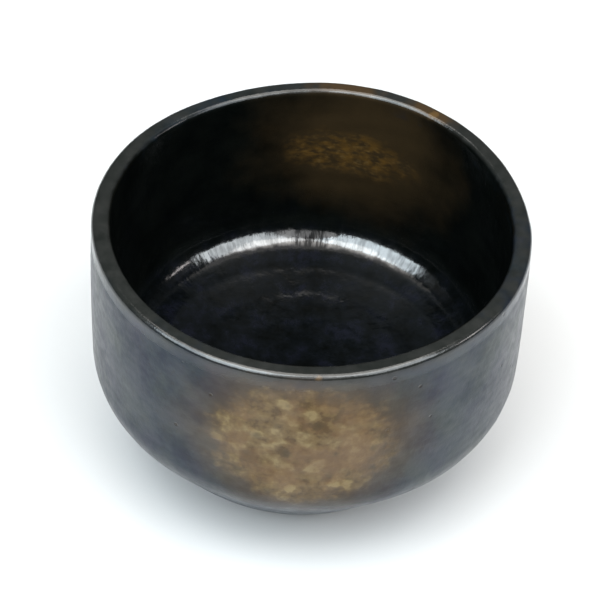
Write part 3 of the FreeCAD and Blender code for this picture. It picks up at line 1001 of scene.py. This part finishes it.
def inner_colours(nodes):
    """Gloss black with the golden brown glow: colour, roughness, normal and sheen."""
    height = nodes.toward((0, 0, 1))
    base = golden(nodes, gloss_black(nodes, height))
    rough = nodes.between(nodes.noise(4 * MM, 3), 0.3, 0.7, 0.09, 0.17)
    outward = nodes.vector("NORMALIZE", nodes.level())
    strand = cove_strands(nodes, outward)
    sheen = inner_sheen(nodes, height, strand, outward)
    return base, rough, inner_bumps(nodes, strand), sheen


def outer_glaze_material(name):
    nodes = Nodes(name)
    return nodes.finish(*outer_colours(nodes), SATIN_IOR)


def inner_glaze_material(name):
    nodes = Nodes(name)
    return nodes.finish(*inner_colours(nodes), GLOSS_IOR)


# Places on the lip, each with the spot's radius.
WARM_LIP = ((32 * MM, 47 * MM, LIP_Z, 10 * MM), (8 * MM, 57 * MM, LIP_Z, 13 * MM))
LIP_SPECKS = ((4 * MM, -60 * MM, LIP_Z, 1.6 * MM), (-9 * MM, -59.5 * MM, LIP_Z, 1.3 * MM),
              (-14 * MM, -58.5 * MM, LIP_Z, 1.1 * MM), (33 * MM, 46 * MM, LIP_Z, 2.2 * MM))


def lip_colour(nodes):
    """Near black with brown stretches and small orange specks."""
    lip = nodes.ramp(nodes.noise(6 * MM, 4, 0.6), LIP_TONES)
    for *centre, reach in WARM_LIP:
        lip = nodes.mix(nodes.times(spot(nodes, centre, reach, 5 * MM), 0.9), lip, LIP_BROWN)
    for *centre, reach in LIP_SPECKS:
        lip = nodes.mix(nodes.times(spot(nodes, centre, reach, 1.5 * MM), 0.55), lip, LIP_ORANGE)
    return lip


def lip_glaze_material(name):
    """Dark lip, glossiest at its outer edge, that runs into the outer and the inner glaze."""
    nodes = Nodes(name)
    outer, outer_rough, normal, outer_sheen = outer_colours(nodes)
    inner, inner_rough, *_ = inner_colours(nodes)
    height = nodes.toward((0, 0, 1))
    side = nodes.between(wobble(nodes, nodes.radius(), 4 * MM, 1 * MM), 54.9 * MM, 55.9 * MM)
    top = nodes.between(wobble(nodes, height, 5 * MM, 3 * MM), 81.5 * MM, 85 * MM)
    outer = nodes.mix(top, outer, lip_colour(nodes))
    base = nodes.mix(side, inner, outer)
    edge = nodes.between(height, 78 * MM, 82.5 * MM, 0.0, 0.16)
    rough = nodes.plus(nodes.times(inner_rough, nodes.less(1.0, side)),
                       nodes.times(nodes.less(outer_rough, edge), side))
    sheen = nodes.times(nodes.plus(outer_sheen, edge), nodes.plus(nodes.times(side, 0.65), 0.35))
    return nodes.finish(base, rough, normal, sheen, SATIN_IOR)


CLAY_DARK = (0.55, 0.40, 0.32)
CLAY_LIGHT = (1.0, 0.74, 0.58)
GRIT_TINT = (1.0, 0.88, 0.72)
GRIT_LIGHTER = 1.9


def bare_clay_material(name, light):
    """Fired, unglazed clay with grit."""
    nodes = Nodes(name)
    tones = ((0.3, tinted(light, CLAY_DARK)), (0.7, tinted(light, CLAY_LIGHT)))
    base = nodes.ramp(nodes.noise(7 * MM, 4, 0.6), tones)
    grit = nodes.between(nodes.cells(1.3 * MM), 0.12, 0.22, 1.0, 0.0)
    base = nodes.mix(nodes.times(grit, 0.6), base, tinted(light * GRIT_LIGHTER, GRIT_TINT))
    normal = nodes.bump(nodes.noise(0.5 * MM, 4, 0.65), 0.08 * MM)
    normal = nodes.bump(grit, 0.06 * MM, normal)
    rough = nodes.between(nodes.noise(2 * MM, 2), 0.3, 0.7, 0.72, 0.9)
    return nodes.finish(base, rough, normal)


def place_piece(piece, node, material):
    """Give a piece its material, and let it stand for its CAD node."""
    piece.data.materials.append(material)
    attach(piece, "root")
    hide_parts(node)


def make_bowl():
    coat = outer_coat()
    outer = outer_glaze_material("outer_glaze_look")
    place_piece(coat.coat_piece("outer_glaze_handmade", False), "outer_glaze",
                outer)
    place_piece(coat.patch_piece("outer_ochre_patch_handmade", 2), "outer_ochre_patch",
                outer)
    lining = inner_coat()
    inner = inner_glaze_material("inner_glaze_look")
    place_piece(lining.coat_piece("inner_glaze_handmade", True), "inner_glaze",
                inner)
    place_piece(lining.patch_piece("inner_ochre_patch_handmade", 2), "inner_ochre_patch",
                inner)
    place_piece(lip_piece(), "lip_glaze", lip_glaze_material("lip_glaze_look"))
    place_piece(clay_piece(), "clay_body", bare_clay_material("clay_look", 0.15))
    place_piece(foot_piece(), "foot_ring", bare_clay_material("foot_clay_look", 0.17))
    place_piece(slip_piece(), "joining_slip", bare_clay_material("slip_look", 0.21))


# The stage, the lights and the camera.
LENS = 132
SENSOR = 36
CAMERA_ELEVATION = math.radians(42.4)
CAMERA_REACH = 0.6
CAMERA_ROLL = math.radians(3.25)
AIM = Vector((-2.1 * MM, 0, 53.6 * MM))
FLOOR_SIZE = 6.0
FLOOR_GAP = 26 * MM
TABLE_GREY = (0.48, 0.48, 0.48, 1)
WORLD_TINT = (0.97, 0.98, 1.0, 1)
WORLD_ABOVE = 0.10
WORLD_BELOW = 1.0


def make_floor():
    """Pale table, open only where the foot ring covers it."""
    rings = [FLOOR_GAP, 0.1, 0.5, 2.0, FLOOR_SIZE]
    columns = 96
    angle = np.arange(columns) / columns * TURN
    points = np.concatenate([
        np.stack([ring * np.cos(angle), ring * np.sin(angle), np.zeros(columns)], 1) for ring in rings])
    number = np.arange(len(points)).reshape(len(rings), columns)
    number = np.concatenate([number, number[:, :1]], 1)
    upward = cell_corners(number)[..., [0, 3, 2, 1]]
    floor = make_mesh("floor", points, [upward.reshape(-1, 4)])
    nodes = Nodes("floor_look")
    nodes.shader.inputs["Base Color"].default_value = TABLE_GREY
    nodes.shader.inputs["Roughness"].default_value = 0.8
    nodes.shader.inputs["Specular IOR Level"].default_value = 0.2
    floor.data.materials.append(nodes.material)


def aim(thing, target):
    """Point an object's -Z at a place, with its own Y upwards."""
    thing.rotation_mode = "QUATERNION"
    thing.rotation_quaternion = (Vector(target) - thing.location).to_track_quat("-Z", "Y")


def softbox(name, azimuth, elevation, reach, size, power, tint):
    """Rectangular soft light that faces the bowl, with its angles in degrees."""
    data = bpy.data.lights.new(name, "AREA")
    data.shape = "RECTANGLE"
    data.size, data.size_y = size
    data.energy = power
    data.color = tint
    light = add_object(name, data)
    azimuth, elevation = math.radians(azimuth), math.radians(elevation)
    light.location = Vector((
        math.cos(azimuth) * math.cos(elevation), math.sin(azimuth) * math.cos(elevation),
        math.sin(elevation))) * reach
    aim(light, (0, 0, LIP_Z / 2))
    light.visible_camera = False


def make_lights():
    softbox("softbox_right", azimuth=-39.8, elevation=53, reach=1.3, size=(0.87, 0.95),
            power=17.5, tint=(0.91, 0.97, 1.0))
    softbox("softbox_left", azimuth=-137.2, elevation=53, reach=1.3, size=(0.94, 0.95),
            power=24, tint=(0.83, 0.94, 1.0))
    softbox("softbox_middle", azimuth=-88.5, elevation=45, reach=1.3, size=(0.62, 0.60),
            power=2.6, tint=(1.0, 1.0, 1.0))
    softbox("ceiling", azimuth=-90, elevation=85, reach=1.7, size=(1.6, 1.6),
            power=41, tint=(1.0, 0.965, 0.92))
    softbox("side_window", azimuth=-1, elevation=31, reach=1.3, size=(0.26, 0.30),
            power=2.2, tint=(1.0, 0.93, 0.92))


def make_world():
    """Dim even surroundings above, and light from below for the underside."""
    world = bpy.data.worlds.new("studio")
    bpy.context.scene.world = world
    world.use_nodes = True
    tree = world.node_tree
    background = tree.nodes["Background"]
    place = tree.nodes.new("ShaderNodeTexCoord")
    split = tree.nodes.new("ShaderNodeSeparateXYZ")
    tree.links.new(place.outputs["Generated"], split.inputs[0])
    level = tree.nodes.new("ShaderNodeMapRange")
    for socket, setting in zip(MAP_RANGE_INPUTS[1:], (-0.02, 0.0, WORLD_BELOW, WORLD_ABOVE)):
        level.inputs[socket].default_value = setting
    tree.links.new(split.outputs["Z"], level.inputs["Value"])
    tree.links.new(level.outputs["Result"], background.inputs["Strength"])
    background.inputs["Color"].default_value = WORLD_TINT


def make_camera():
    data = bpy.data.cameras.new("camera")
    data.lens = LENS
    data.sensor_width = SENSOR
    camera = add_object("camera", data)
    lip_centre = Vector((0, 0, LIP_Z))
    back = Vector((0, -math.cos(CAMERA_ELEVATION), math.sin(CAMERA_ELEVATION)))
    camera.location = lip_centre + back * CAMERA_REACH
    aim(camera, AIM)
    camera.rotation_quaternion = (camera.rotation_quaternion.to_matrix()
                                  @ Matrix.Rotation(CAMERA_ROLL, 3, "Z")).to_quaternion()
    bpy.context.scene.camera = camera


def main():
    bpy.context.scene.view_settings.view_transform = "Standard"
    make_camera()
    make_world()
    make_floor()
    make_lights()
    make_bowl()


main()
